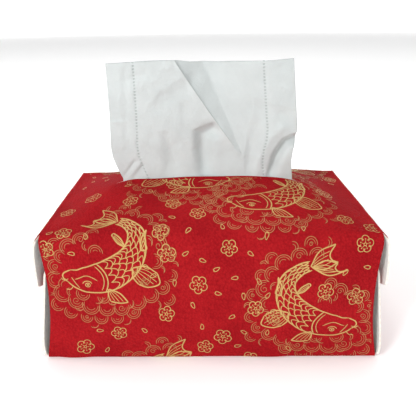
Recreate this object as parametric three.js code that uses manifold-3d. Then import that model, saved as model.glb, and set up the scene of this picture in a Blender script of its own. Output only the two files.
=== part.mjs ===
// A soft leather tissue-box cover round a soft pack of tissues, with one tissue standing up out of its slot.
// Millimetres, +Z up. X runs along the cover, the front is at -Y, and the origin is the middle of the base.
import * as THREE from "three";
import { RoundedBoxGeometry } from "three/addons/geometries/RoundedBoxGeometry.js";
import { mergeVertices } from "three/addons/utils/BufferGeometryUtils.js";
import Module from "manifold-3d";

const wasm = await Module();
wasm.setup();

// The cover, measured over its leather
const coverLength = 220; // between the two end folds
const coverDepth = 140;
const coverHeight = 88; // at its four top corners
const topRise = 17; // from the end folds up to the lips of the slot
const bellyOut = 2; // the front and back swell this much at half height
const endInset = 3.4; // the front's and back's end edges curve in this much at half height
const topRadius = 7;
const baseRadius = 5;

// Coated leather: a grained skin bonded to a pale backing
const skin = 0.6;
const bond = 0.4;
const backing = 0.4;
const leather = skin + bond + backing;

// The slot in the top, a pointed oval opened by the tissue
const slotLength = 148;
const slotWidth = 17;

// The lap seam under the cover, near its back edge
const lapWidth = 8;
const tapeThickness = 0.5;
const lapRamp = 5; // the inner ply climbs over the outer one along this length

// The flaps that close each end
const foldGap = 0.4; // between a panel's end edge and its flap, at the fold
const flapRootInset = 4; // a flap is this much narrower at its fold than the cover, at each side
const upperFlapDrop = 36;
const upperFlapBulge = 3.9;
const lowerFlapHeight = 66;
const lowerFlapBulge = 3.1;
const flapCorner = 3; // the cut corners at a flap's free edge

// The snap fastener in the overlap of each pair of flaps
const capRadius = 6;
const capDome = 1.6;
const shankRadius = 1.4;
const shankClearance = 0.4;
const studRadius = 2.1;
const studTipRadius = 1.2;
const studRise = 0.9;
const socketBore = 2.6;
const socketRadius = 4.6;
const flangeRadius = 4.8;
const flangeThickness = 0.4;

// The tissue pack and its tissues
const sheetWidth = 138;
const sheetPly = 0.35;
const plySpace = 0.7;
const tissueShown = 89; // above the lips of the slot
const tissueLean = 1.8; // its top edge is this much higher at one side than at its middle
const tissueWave = 4.5; // how far its top edge waves to and fro
const stackDepth = 97;
const stackHeight = 73;
const film = 0.4;
const filmRoom = 11; // between the end of the stack and the end of the film
const filmSlack = 2; // over and beside the stack
const finLength = 8;
const finThickness = 0.8;
const mouthWidth = 30; // the torn opening in the top of the film
const mouthMargin = 3; // it is longer than the sheet is wide by this much at each end

const gap = 0.3; // between pieces that touch

const snapHeight = (coverHeight - upperFlapDrop + lowerFlapHeight) / 2; // the middle of the overlap
const halfLength = coverLength / 2;
const halfDepth = coverDepth / 2 - bellyOut;
const lipHeight = coverHeight + topRise;

// ---- Solids, sheets and cuts -------------------------------------------------------------------------

function solidOf(geometry) {
  const bare = geometry.clone();
  bare.deleteAttribute("normal");
  bare.deleteAttribute("uv");
  const merged = mergeVertices(bare, 1e-4);
  const vertProperties = merged.attributes.position.array;
  const triVerts = new Uint32Array(merged.index.array);
  return new wasm.Manifold(new wasm.Mesh({ numProp: 3, vertProperties, triVerts }));
}

function geometryOf(solid) {
  const { vertProperties, triVerts } = solid.getMesh();
  const geometry = new THREE.BufferGeometry();
  geometry.setAttribute("position", new THREE.BufferAttribute(vertProperties, 3));
  geometry.setIndex(new THREE.BufferAttribute(triVerts, 1));
  geometry.computeVertexNormals();
  return geometry;
}

const cut = (geometry, ...cutters) =>
  geometryOf(cutters.reduce((left, cutter) => left.subtract(solidOf(cutter)), solidOf(geometry)));

const joined = (first, ...others) =>
  geometryOf(others.reduce((sum, other) => sum.add(solidOf(other)), solidOf(first)));

// Evenly spaced numbers, both ends included.
const spaced = (from, to, steps) =>
  Array.from({ length: steps + 1 }, (_, i) => from + ((to - from) * i) / steps);

// A bent plate: a box grid whose points go to place(u, v, w). u and v come from the two lists, and w is
// inner or outer. The place has to be right-handed: u across v points from inner to outer.
function bentPlate(us, vs, inner, outer, place) {
  const geometry = new THREE.BoxGeometry(1, 1, 1, us.length - 1, vs.length - 1, 1);
  const at = geometry.attributes.position;
  const pick = (list, t) => list[Math.round((t + 0.5) * (list.length - 1))];
  for (let i = 0; i < at.count; i++) {
    const w = at.getZ(i) > 0 ? outer : inner;
    at.setXYZ(i, ...place(pick(us, at.getX(i)), pick(vs, at.getY(i)), w));
  }
  // The inner face's squares are split along the outer face's diagonals, so plates bent alike stay evenly
  // apart.
  const corners = geometry.index.array;
  const { start, count } = geometry.groups[5];
  for (let i = start; i < start + count; i += 6) {
    const [a, b, d, , c] = corners.subarray(i, i + 5);
    corners.set([a, b, c, a, c, d], i);
  }
  geometry.computeVertexNormals();
  return geometry;
}

// A turned piece: (radius, x) points round the X axis, with both ends on the axis or closed on itself.
const turned = (...points) =>
  new THREE.LatheGeometry(points.map(([r, x]) => new THREE.Vector2(r, x)), 20).rotateZ(-Math.PI / 2);

function ellipsePrism(length, width, low, high) {
  const outline = new THREE.Shape().absellipse(0, 0, length / 2, width / 2, 0, 2 * Math.PI);
  const options = { depth: high - low, bevelEnabled: false, curveSegments: 22 };
  return new THREE.ExtrudeGeometry(outline, options).translate(0, 0, low);
}

function piece(name, geometry, material) {
  const mesh = new THREE.Mesh(geometry, new THREE.MeshStandardMaterial(material));
  mesh.name = name;
  return mesh;
}

const redSkin = { color: 0xb62525, roughness: 0.5 };
const paleBacking = { color: 0xded6cc, roughness: 0.9 };
const steel = { color: 0xc8c8cc, roughness: 0.25, metalness: 1 };
const tissuePaper = { color: 0xf2f4f3, roughness: 0.95 };
const tapeFilm = { color: 0xd9cfae, roughness: 0.6 };
const clearFilm = { color: 0xe9eef2, roughness: 0.3 };

// ---- The wrap: one sheet round the base, back, top and front -----------------------------------------

const lapLift = leather + 2 * gap + tapeThickness;
const lapEnd = halfDepth - baseRadius - gap;
const lapStart = lapEnd - lapWidth;

// Stations round the sleeve's outer outline: the place, and the unit direction that points out.
const straight = (y0, z0, y1, z1, ny, nz, steps) =>
  spaced(0, 1, steps).map((t) => ({ y: y0 + (y1 - y0) * t, z: z0 + (z1 - z0) * t, ny, nz }));

const corner = (cy, cz, radius, fromDegrees, steps) =>
  spaced(fromDegrees, fromDegrees + 90, steps)
    .slice(1, -1)
    .map((degrees) => {
      const ny = Math.cos(THREE.MathUtils.degToRad(degrees));
      const nz = Math.sin(THREE.MathUtils.degToRad(degrees));
      return { y: cy + radius * ny, z: cz + radius * nz, ny, nz };
    });

function sleeveStations() {
  const base = halfDepth - baseRadius;
  const top = halfDepth - topRadius;
  const shoulder = coverHeight - topRadius;
  return [
    ...straight(lapStart, 0, base, 0, 0, -1, 1),
    ...corner(base, baseRadius, baseRadius, -90, 3),
    ...straight(halfDepth, baseRadius, halfDepth, shoulder, 1, 0, 5),
    ...corner(top, shoulder, topRadius, 0, 4),
    ...straight(top, coverHeight, -top, coverHeight, 0, 1, 12),
    ...corner(-top, shoulder, topRadius, 90, 4),
    ...straight(-halfDepth, shoulder, -halfDepth, baseRadius, -1, 0, 5),
    ...corner(-base, baseRadius, baseRadius, 180, 3),
    ...straight(-base, 0, lapStart - lapRamp, 0, 0, -1, 3),
    ...straight(lapStart - gap, lapLift, lapEnd, lapLift, 0, -1, 1),
  ];
}

// How far the top stands above its corners, and the front and back outside theirs.
const rise = (x, y) =>
  topRise * (1 - (x / halfLength) ** 4) ** 2 * (1 - Math.min(1, Math.abs(y / halfDepth)) ** 1.5);
const belly = (x, z) =>
  bellyOut * Math.sin((Math.PI * z) / coverHeight) * (1 - 0.6 * Math.abs(x / halfLength) ** 4);
const inset = (z) => endInset * Math.sin((Math.PI * z) / coverHeight);

function onSleeve({ y, z, ny, nz }, along, w) {
  const x = along * (1 - inset(z) / halfLength);
  const lift = z > coverHeight / 2 ? rise(x, y) * Math.max(0, nz) : 0;
  const out = belly(x, z) * ny;
  return [x, y + out + ny * w, z + lift + nz * w];
}

function wrapSheet(inner, outer) {
  const end = halfLength - foldGap;
  const alongs = spaced(-90, 90, 16).map((degrees) => end * Math.sin(THREE.MathUtils.degToRad(degrees)));
  const sheet = bentPlate(sleeveStations(), alongs, inner, outer, onSleeve);
  return cut(sheet, ellipsePrism(slotLength, slotWidth, coverHeight / 2, lipHeight + topRise));
}

const wrap = new THREE.Group();
wrap.add(
  piece("wrap_skin", wrapSheet(-skin, 0), redSkin),
  piece("wrap_backing", wrapSheet(-leather, -skin - bond), paleBacking),
);

const tapeMargin = 10; // the tape stops this far short of each end of the seam
const seamTape = new THREE.BoxGeometry(coverLength - 2 * tapeMargin, lapWidth - 2 * gap, tapeThickness);
seamTape.translate(0, (lapStart + lapEnd) / 2, leather + gap + tapeThickness / 2);
wrap.add(piece("lap_seam_tape", seamTape, tapeFilm));

// ---- The end flaps and their snaps, made for the +X end ----------------------------------------------

// The flaps' outer faces, as (x, z) curves from the fold to the free edge. Each leaves its fold level.
const upperProfile = new THREE.CubicBezierCurve(
  new THREE.Vector2(halfLength, coverHeight),
  new THREE.Vector2(halfLength + 1.35 * upperFlapBulge, coverHeight),
  new THREE.Vector2(halfLength + 1.05 * upperFlapBulge, coverHeight - 0.6 * upperFlapDrop),
  new THREE.Vector2(halfLength + 0.85 * upperFlapBulge, coverHeight - upperFlapDrop),
);
const lowerProfile = new THREE.CubicBezierCurve(
  new THREE.Vector2(halfLength, 0),
  new THREE.Vector2(halfLength + 2.1 * lowerFlapBulge, 0),
  new THREE.Vector2(halfLength + 0.35 * lowerFlapBulge, 0.55 * lowerFlapHeight),
  new THREE.Vector2(halfLength - 0.5 * lowerFlapBulge, lowerFlapHeight),
);

// A flap's sheet. A turn of 1 takes its width along +Y, for a profile that runs down, and -1 along -Y.
// Each side of its free half draws in by tuck.
function flapSheet(profile, turn, tuck, inner, outer) {
  const wide = halfDepth;
  const rootShare = 0.2; // the flap reaches its full width this far along its profile
  const stations = spaced(0, 1, 12).map((t) => {
    const tangent = profile.getTangent(t);
    const root = flapRootInset * Math.max(0, 1 - t / rootShare) ** 2;
    const free = THREE.MathUtils.smoothstep(t, 0.3, 0.7) * tuck + (t > 0.95 ? flapCorner : 0);
    return { at: profile.getPoint(t), nx: -turn * tangent.y, nz: turn * tangent.x, half: wide - root - free };
  });
  return bentPlate(stations, spaced(-1, 1, 4), inner, outer, ({ at, nx, nz, half }, across, w) => [
    at.x + nx * w,
    turn * across * half,
    at.y + nz * w,
  ]);
}

// Where a profile is at one height.
function faceAt(profile, height) {
  const points = profile.getPoints(400);
  return points.reduce((best, p) => (Math.abs(p.y - height) < Math.abs(best.y - height) ? p : best)).x;
}

function snapHole() {
  const reach = 20;
  const radius = shankRadius + shankClearance;
  const hole = new THREE.CylinderGeometry(radius, radius, reach, 16);
  return hole.rotateZ(Math.PI / 2).translate(halfLength, 0, snapHeight);
}

function snapPieces(side) {
  // The flaps lean a little, so each flange sits on the height that stands out most under it.
  const upperOuter = faceAt(upperProfile, snapHeight + capRadius);
  const upperInner = faceAt(upperProfile, snapHeight - socketRadius) - leather;
  const lowerOuter = faceAt(lowerProfile, snapHeight - flangeRadius);
  const lowerInner = faceAt(lowerProfile, snapHeight + flangeRadius) - leather;
  const flangeFace = lowerOuter + gap + flangeThickness;
  const studTip = flangeFace + studRise;
  const socketOut = upperInner - gap;
  const socketIn = flangeFace + gap;
  const capIn = upperOuter + gap;
  const postOut = lowerInner - gap;
  const rim = 0.4;
  const cap = turned(
    [0, studTip + gap],
    [shankRadius, studTip + gap],
    [shankRadius, capIn],
    [capRadius, capIn],
    [capRadius, capIn + rim],
    [0.8 * capRadius, capIn + 0.75 * capDome],
    [0.4 * capRadius, capIn + 0.96 * capDome],
    [0, capIn + capDome],
  );
  const socket = turned(
    [socketBore, socketIn],
    [socketRadius - rim, socketIn],
    [socketRadius, socketIn + rim],
    [socketRadius, socketOut],
    [socketBore, socketOut],
    [socketBore, socketIn],
  );
  const stud = turned(
    [0, lowerOuter + gap],
    [flangeRadius, lowerOuter + gap],
    [flangeRadius, flangeFace],
    [studRadius, flangeFace],
    [studRadius, flangeFace + 0.25 * studRise],
    [studTipRadius, studTip],
    [0, studTip],
  );
  const post = turned(
    [0, postOut - flangeThickness],
    [flangeRadius - rim, postOut - flangeThickness],
    [flangeRadius, postOut],
    [shankRadius, postOut],
    [shankRadius, lowerOuter],
    [0, lowerOuter],
  );
  return Object.entries({ cap, socket, stud, post }).map(([name, geometry]) =>
    piece(`${side}_snap_${name}`, geometry.translate(0, 0, snapHeight), steel),
  );
}

function endPieces(side, direction) {
  const end = new THREE.Group();
  end.scale.x = direction;
  const flaps = { upper: [upperProfile, 1, 0], lower: [lowerProfile, -1, leather + 2 * gap] };
  for (const [level, [profile, turn, tuck]] of Object.entries(flaps)) {
    const grained = cut(flapSheet(profile, turn, tuck, -skin, 0), snapHole());
    const pale = cut(flapSheet(profile, turn, tuck, -leather, -skin - bond), snapHole());
    end.add(piece(`${side}_${level}_flap_skin`, grained, redSkin));
    end.add(piece(`${side}_${level}_flap_backing`, pale, paleBacking));
  }
  end.add(...snapPieces(side));
  return end;
}

// ---- The tissue pack ---------------------------------------------------------------------------------

const packBase = leather + gap;
const stackBase = packBase + film + gap;
const stackTop = stackBase + stackHeight;
const filmLength = sheetWidth + 2 * filmRoom;
const filmDepth = stackDepth + 2 * (film + filmSlack);
const filmHeight = stackHeight + 2 * film + gap + filmSlack;

function packPieces() {
  const radius = 3;
  const rounded = (length, depth, height, r, low) =>
    new RoundedBoxGeometry(length, depth, height, 3, r).translate(0, 0, low + height / 2);
  const outer = rounded(filmLength, filmDepth, filmHeight, radius, packBase);
  const inner = rounded(
    filmLength - 2 * film,
    filmDepth - 2 * film,
    filmHeight - 2 * film,
    radius - film,
    packBase + film,
  );
  const fins = [-1, 1].map((way) =>
    new THREE.BoxGeometry(finLength, filmDepth - 2 * radius, finThickness).translate(
      way * (filmLength / 2 + finLength / 2 - film / 2),
      0,
      packBase + filmHeight / 2,
    ),
  );
  const mouth = ellipsePrism(sheetWidth + 2 * mouthMargin, mouthWidth, stackTop, lipHeight);
  const stack = new RoundedBoxGeometry(sheetWidth, stackDepth, stackHeight, 1, 0.5);
  return [
    piece("pack_film", cut(joined(outer, ...fins), inner, mouth), clearFilm),
    piece("tissue_stack", stack.translate(0, 0, stackBase + stackHeight / 2), tissuePaper),
  ];
}

// A tissue's middle surface waves to and fro more and more above the slot, and hangs flat below it.
function tissueY(x, z) {
  const loose = Math.max(0, (z - lipHeight) / tissueShown);
  return tissueWave * loose * Math.sin(x / 13 + 2.2 * loose) - 0.5 * tissueWave * loose ** 2;
}

// One ply between two heights, from y = near to y = far of the middle surface.
function tissuePly(low, high, lean, near, far) {
  const heights = spaced(low, high, 10);
  const half = sheetWidth / 2;
  return bentPlate(spaced(-half, half, 16), heights, -far, -near, (x, z, w) => {
    const up = z + (lean * x * (z - low)) / (half * (high - low));
    return [x, tissueY(x, z) - w, up];
  });
}

function standingTissues() {
  const tail = stackTop + gap;
  const front = tissuePly(tail, lipHeight + tissueShown, tissueLean, -plySpace / 2 - sheetPly, -plySpace / 2);
  const back = tissuePly(tail, lipHeight + tissueShown, tissueLean, plySpace / 2, plySpace / 2 + sheetPly);
  const nextOffset = plySpace / 2 + sheetPly + 2 * gap;
  const nextTop = lipHeight - leather - 4 * gap;
  const nextInset = 12; // the next sheet is gathered this much at each side
  const next = bentPlate(
    spaced(-sheetWidth / 2 + nextInset, sheetWidth / 2 - nextInset, 6),
    [tail, (tail + nextTop) / 2, nextTop],
    -nextOffset - 2 * sheetPly,
    -nextOffset,
    (x, z, w) => [x, -w, z],
  );
  return [
    piece("tissue_front_ply", front, tissuePaper),
    piece("tissue_back_ply", back, tissuePaper),
    piece("next_tissue", next, tissuePaper),
  ];
}

const cover = new THREE.Group();
cover.add(wrap, endPieces("right", 1), endPieces("left", -1), ...packPieces(), ...standingTissues());

export default cover;
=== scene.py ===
"""The looks of a soft leather tissue-box cover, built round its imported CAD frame.

Lengths below are millimetres until a mesh is made, with X along the cover, the front at -Y and +Z up.
"""
import math

import bpy
import numpy as np
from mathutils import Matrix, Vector, noise


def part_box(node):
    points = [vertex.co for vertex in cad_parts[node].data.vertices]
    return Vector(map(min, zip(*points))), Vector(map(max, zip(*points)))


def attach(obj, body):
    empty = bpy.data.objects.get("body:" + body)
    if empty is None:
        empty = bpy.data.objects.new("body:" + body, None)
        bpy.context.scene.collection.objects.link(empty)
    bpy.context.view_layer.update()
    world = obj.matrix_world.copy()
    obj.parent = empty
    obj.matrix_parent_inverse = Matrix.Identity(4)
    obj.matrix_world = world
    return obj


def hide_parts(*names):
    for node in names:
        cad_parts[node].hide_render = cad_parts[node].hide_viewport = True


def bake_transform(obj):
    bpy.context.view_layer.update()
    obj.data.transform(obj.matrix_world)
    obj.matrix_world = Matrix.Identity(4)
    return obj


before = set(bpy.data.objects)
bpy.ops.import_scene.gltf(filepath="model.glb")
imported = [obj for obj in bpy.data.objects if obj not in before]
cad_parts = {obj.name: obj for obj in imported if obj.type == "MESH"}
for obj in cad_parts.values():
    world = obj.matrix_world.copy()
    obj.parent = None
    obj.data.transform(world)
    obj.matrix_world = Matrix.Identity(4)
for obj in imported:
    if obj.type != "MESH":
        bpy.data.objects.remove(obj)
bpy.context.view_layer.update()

MM = 0.001
random = np.random.default_rng(11)

# The cover. Its end inset, base radius and slot differ a little from the CAD's, to follow the real one.
HALF_LENGTH = 110.0
HALF_DEPTH = 68.0
HEIGHT = 88.0
TOP_RISE = 17.0
BELLY_OUT = 2.0
END_INSET = 5.0
TOP_RADIUS = 7.0
BASE_RADIUS = 2.5
LEATHER = 1.4
SLOT_HALF_LENGTH = 71.0
CREASE_OUT = 3.8
LIP_CURL = 1.5
SLOT_FRONT_OPENING = 4.0  # the tissue stands against the front lip
SLOT_BACK_OPENING = 8.0
LIP_HEIGHT = HEIGHT + TOP_RISE
LAP_LIFT = 2.5
LAP_START = 54.7
LAP_END = 62.7

# Distances round the sleeve from the middle of the top: s > 0 goes to the front, s < 0 to the back
TOP_FLAT = HALF_DEPTH - TOP_RADIUS
TOP_TURN = TOP_FLAT + math.pi / 2 * TOP_RADIUS
WALL_END = TOP_TURN + HEIGHT - TOP_RADIUS - BASE_RADIUS
BASE_FLAT = WALL_END + math.pi / 2 * BASE_RADIUS
BACK_END = -(BASE_FLAT + HALF_DEPTH - BASE_RADIUS - LAP_START)
FRONT_END = BASE_FLAT + HALF_DEPTH - BASE_RADIUS + LAP_END


def smoothstep(low, high, value):
    t = np.clip((np.asarray(value, float) - low) / (high - low), 0, 1)
    return t * t * (3 - 2 * t)


# ---- Meshes ----


def mesh_object(name, points, faces, materials, face_materials=None, sharp_degrees=50):
    mesh = bpy.data.meshes.new(name)
    mesh.from_pydata([tuple(p) for p in np.asarray(points) * MM], [], [tuple(map(int, f)) for f in faces])
    for material in materials:
        mesh.materials.append(material)
    if face_materials is not None:
        mesh.polygons.foreach_set("material_index", np.asarray(face_materials, np.int32))
    mesh.polygons.foreach_set("use_smooth", [True] * len(mesh.polygons))
    mesh.set_sharp_from_angle(angle=math.radians(sharp_degrees))
    mesh.update()
    made = bpy.data.objects.new(name, mesh)
    bpy.context.scene.collection.objects.link(made)
    return made


def grid_faces(rows, columns):
    index = np.arange(rows * columns).reshape(rows, columns)
    corners = [index[:-1, :-1], index[:-1, 1:], index[1:, 1:], index[1:, :-1]]
    return np.stack(corners, axis=-1).reshape(-1, 4)


def vertex_normals(points, faces):
    points = np.asarray(points, float)
    diagonal_a = points[faces[:, 2]] - points[faces[:, 0]]
    diagonal_b = points[faces[:, 3]] - points[faces[:, 1]]
    face_normal = np.cross(diagonal_a, diagonal_b)
    total = np.zeros_like(points)
    for corner in range(4):
        np.add.at(total, faces[:, corner], face_normal)
    length = np.linalg.norm(total, axis=1, keepdims=True)
    return total / np.maximum(length, 1e-9)


def thicken(points, faces, thickness):
    """A closed sheet below a surface: points, faces, and each face's layer (0 outer, 1 inner, 2 edge)."""
    count = len(points)
    inner = points - vertex_normals(points, faces) * thickness
    ways = {}
    for face in faces:
        for a, b in zip(face, np.roll(face, -1)):
            ways[(int(a), int(b))] = True
    edge = [(a, b) for a, b in ways if (b, a) not in ways]
    rim = np.array([(b, a, a + count, b + count) for a, b in edge])
    everything = np.vstack([faces, faces[:, ::-1] + count, rim])
    layers = [0] * len(faces) + [1] * len(faces) + [2] * len(rim)
    return np.vstack([points, inner]), everything, layers


# ---- Materials ----


class Look:
    """A Principled material with a small node graph."""

    def __init__(self, name, color, roughness, **sockets):
        self.material = bpy.data.materials.new(name)
        self.material.use_nodes = True
        self.nodes = self.material.node_tree.nodes
        self.links = self.material.node_tree.links
        self.shader = self.nodes["Principled BSDF"]
        self.shader.inputs["Base Color"].default_value = (*color, 1)
        self.shader.inputs["Roughness"].default_value = roughness
        for socket, value in sockets.items():
            self.shader.inputs[socket.replace("_", " ")].default_value = value
        self.place = self.nodes.new("ShaderNodeTexCoord").outputs["Object"]
        self.height = None

    def node(self, kind, **inputs):
        made = self.nodes.new(kind)
        for name, value in inputs.items():
            socket = made.inputs[name.replace("_", " ")]
            if isinstance(value, bpy.types.NodeSocket):
                self.links.new(value, socket)
            else:
                socket.default_value = value
        return made

    def stretched(self, x, y, z):
        mapping = self.node("ShaderNodeMapping", Vector=self.place)
        mapping.inputs["Scale"].default_value = (x, y, z)
        return mapping.outputs["Vector"]

    def noise(self, scale, detail=3.0, vector=None):
        made = self.node("ShaderNodeTexNoise", Vector=vector or self.place, Scale=scale, Detail=detail)
        return made.outputs["Fac"]

    def cells(self, scale):
        return self.node("ShaderNodeTexVoronoi", Vector=self.place, Scale=scale).outputs["Distance"]

    def ramp(self, factor, *stops):
        made = self.node("ShaderNodeValToRGB", Fac=factor)
        ramp = made.color_ramp
        while len(ramp.elements) < len(stops):
            ramp.elements.new(0.5)
        for element, (position, color) in zip(ramp.elements, stops):
            element.position = position
            element.color = (*color, 1)
        return made.outputs["Color"]

    def math(self, operation, a, b):
        made = self.nodes.new("ShaderNodeMath")
        made.operation = operation
        for socket, value in zip(made.inputs, (a, b)):
            if isinstance(value, bpy.types.NodeSocket):
                self.links.new(value, socket)
            else:
                socket.default_value = value
        return made.outputs["Value"]

    def color(self, socket):
        self.links.new(socket, self.shader.inputs["Base Color"])

    def rough(self, factor, low, high):
        made = self.node("ShaderNodeMapRange", Value=factor, To_Min=low, To_Max=high)
        self.links.new(made.outputs["Result"], self.shader.inputs["Roughness"])

    def bump(self, factor, distance, strength=1.0):
        made = self.node("ShaderNodeBump", Height=factor, Distance=distance, Strength=strength)
        if self.height is not None:
            self.links.new(self.height, made.inputs["Normal"])
        self.height = made.outputs["Normal"]
        self.links.new(self.height, self.shader.inputs["Normal"])


def red_leather():
    look = Look("red_grained_leather", (0.45, 0.012, 0.015), 0.5, Specular_IOR_Level=0.008)
    broad = look.noise(38.0, 4.0)
    pebbles = look.cells(620.0)
    tone = look.math("ADD", look.math("MULTIPLY", broad, 0.7), look.math("MULTIPLY", pebbles, 0.42))
    look.color(look.ramp(tone, (0.38, (0.41, 0.0125, 0.0165)), (0.72, (0.30, 0.0075, 0.0115))))
    fine = look.noise(2600.0, 2.0)
    grain = look.math("ADD", pebbles, look.math("MULTIPLY", fine, 0.35))
    look.bump(look.noise(120.0, 3.0), 0.0007, 0.4)
    look.bump(grain, -0.0007, 0.8)
    look.rough(pebbles, 0.60, 0.46)
    return look.material


def pale_backing():
    look = Look("pale_felt_backing", (0.72, 0.66, 0.6), 0.95, Specular_IOR_Level=0.15)
    look.color(look.ramp(look.noise(420.0, 5.0), (0.3, (0.86, 0.82, 0.78)), (0.7, (0.97, 0.95, 0.92))))
    fibres = look.noise(900.0, 4.0, look.stretched(1.0, 1.0, 0.35))
    look.bump(fibres, 0.0004, 0.6)
    return look.material


def cut_edge():
    look = Look("cream_cut_edge", (0.8, 0.73, 0.64), 0.8, Specular_IOR_Level=0.2)
    look.color(look.ramp(look.noise(700.0, 3.0), (0.3, (0.78, 0.72, 0.64)), (0.7, (0.92, 0.88, 0.82))))
    look.bump(look.noise(1800.0, 3.0), 0.0002, 0.5)
    return look.material


def gold_print(name, color, metallic, rough):
    look = Look(name, color, rough, Metallic=metallic)
    darker = tuple(0.8 * c for c in color)
    look.color(look.ramp(look.noise(260.0, 4.0), (0.3, darker), (0.65, color)))
    look.bump(look.cells(620.0), 0.0002, 0.4)
    look.rough(look.noise(900.0, 2.0), rough - 0.08, rough + 0.12)
    return look.material


def tissue_paper(name, color):
    look = Look(name, color, 0.95, Specular_IOR_Level=0.12)
    shade = tuple(0.93 * c for c in color)
    look.color(look.ramp(look.noise(60.0, 5.0), (0.3, shade), (0.65, color)))
    look.bump(look.noise(210.0, 6.0), 0.0012, 0.5)
    look.bump(look.noise(1500.0, 3.0, look.stretched(1.0, 1.0, 0.3)), 0.00025, 0.55)
    return look.material


def clear_film():
    look = Look("clear_crinkled_film", (0.86, 0.9, 0.93), 0.16, Alpha=0.38, Specular_IOR_Level=0.7)
    look.color(look.ramp(look.noise(90.0, 3.0), (0.3, (0.78, 0.84, 0.88)), (0.7, (0.92, 0.95, 0.97))))
    look.bump(look.cells(95.0), 0.0012, 0.5)
    look.bump(look.noise(300.0, 4.0), 0.0005, 0.4)
    return look.material


def snap_steel():
    look = Look("nickel_snap", (0.68, 0.68, 0.70), 0.28, Metallic=1.0)
    look.color(look.ramp(look.noise(500.0, 4.0), (0.3, (0.58, 0.58, 0.60)), (0.7, (0.74, 0.74, 0.76))))
    look.rough(look.noise(1400.0, 3.0), 0.2, 0.38)
    look.bump(look.noise(2500.0, 2.0), 0.00005, 0.3)
    return look.material


def seam_tape():
    look = Look("bonding_tape", (0.66, 0.6, 0.45), 0.5)
    look.color(look.ramp(look.noise(300.0, 4.0), (0.3, (0.55, 0.49, 0.35)), (0.7, (0.72, 0.66, 0.5))))
    threads = look.node("ShaderNodeTexWave", Vector=look.place, Scale=300.0, Distortion=1.5)
    look.bump(threads.outputs["Fac"], 0.0002, 0.5)
    return look.material


RED = red_leather()
BACKING = pale_backing()
CUT_EDGE = cut_edge()
GOLD = gold_print("gold_line_print", (0.60, 0.38, 0.12), 0.25, 0.42)
FAINT_GOLD = gold_print("thin_gold_print", (0.46, 0.19, 0.065), 0.15, 0.5)
# The standing sheet's colour is darker and cooler than the same paper in the stack (STACKED): painted shade,
# which offsets the strong light and the red bounce that fall on it.
TISSUE_DARKENED_FOR_LIGHT = tissue_paper("white_tissue", (0.60, 0.64, 0.635))
# A still darker tissue colour for the faces at the embossed dots: painted shade in the dimples.
TISSUE_DIMPLE_SHADE = tissue_paper("white_tissue_painted_dimple_shade", (0.47, 0.51, 0.50))
STACKED = tissue_paper("stacked_tissue", (0.80, 0.83, 0.815))
FILM = clear_film()
STEEL = snap_steel()
TAPE = seam_tape()

LEATHER_LAYERS = (RED, BACKING, CUT_EDGE)


# ---- The leather sleeve ----


def outline(s):
    """Where the flat sheet's distance s comes on the sleeve's section: y, z and the outward direction."""
    s = np.asarray(s, float)
    a = np.abs(s)
    front = np.where(s > 0, -1.0, 1.0)
    turn = (a - TOP_FLAT) / TOP_RADIUS
    low_turn = (a - WALL_END) / BASE_RADIUS
    run = [a <= TOP_FLAT, a <= TOP_TURN, a <= WALL_END, a <= BASE_FLAT]
    top_y = TOP_FLAT + TOP_RADIUS * np.sin(turn)
    low_y = HALF_DEPTH - BASE_RADIUS * (1 - np.cos(low_turn))
    y = np.select(run, [a, top_y, HALF_DEPTH, low_y], HALF_DEPTH - BASE_RADIUS - (a - BASE_FLAT))
    top_z = HEIGHT - TOP_RADIUS * (1 - np.cos(turn))
    wall_z = HEIGHT - TOP_RADIUS - (a - TOP_TURN)
    low_z = BASE_RADIUS * (1 - np.sin(low_turn))
    z = np.select(run, [HEIGHT, top_z, wall_z, low_z], 0.0)
    ny = np.select(run, [0.0, np.sin(turn), 1.0, np.cos(low_turn)], 0.0)
    nz = np.select(run, [1.0, np.cos(turn), 0.0, -np.sin(low_turn)], -1.0)
    y = y * front
    lap = np.where(s > BASE_FLAT, LAP_LIFT * smoothstep(LAP_START - 5, LAP_START - 0.3, y), 0.0)
    return y, z + lap, ny * front, nz


def slot_opening(x, front):
    share = np.clip(1 - (x / SLOT_HALF_LENGTH) ** 2, 0, 1)
    return np.where(front, SLOT_FRONT_OPENING * share**1.1, SLOT_BACK_OPENING * share**1.6)


def wall_crease(x, z, front):
    """The front folds out a little along a soft line that climbs to the right; the back has its own."""
    line = np.where(front, 31 + 17 * smoothstep(-30, 100, x), 44 - 8 * smoothstep(-90, 60, x))
    ridge = np.clip(1 - np.sqrt((z - line) ** 2 + 16) / 34, 0, 1)
    return CREASE_OUT * ridge * (1 - 0.7 * np.abs(x / HALF_LENGTH) ** 6)


def softness(x, s):
    """The leather's own small waves, which die out at the folds at each end."""
    calm = 1 - smoothstep(92, 109, np.abs(x))
    waves = 0.45 * np.sin(x / 19 + s / 27 + 0.6) + 0.3 * np.sin(x / 11 - s / 16 + 1.7)
    waves = waves + 0.22 * np.sin(x / 7.3 + s / 9.1 + 4.0)
    return calm * waves


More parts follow.
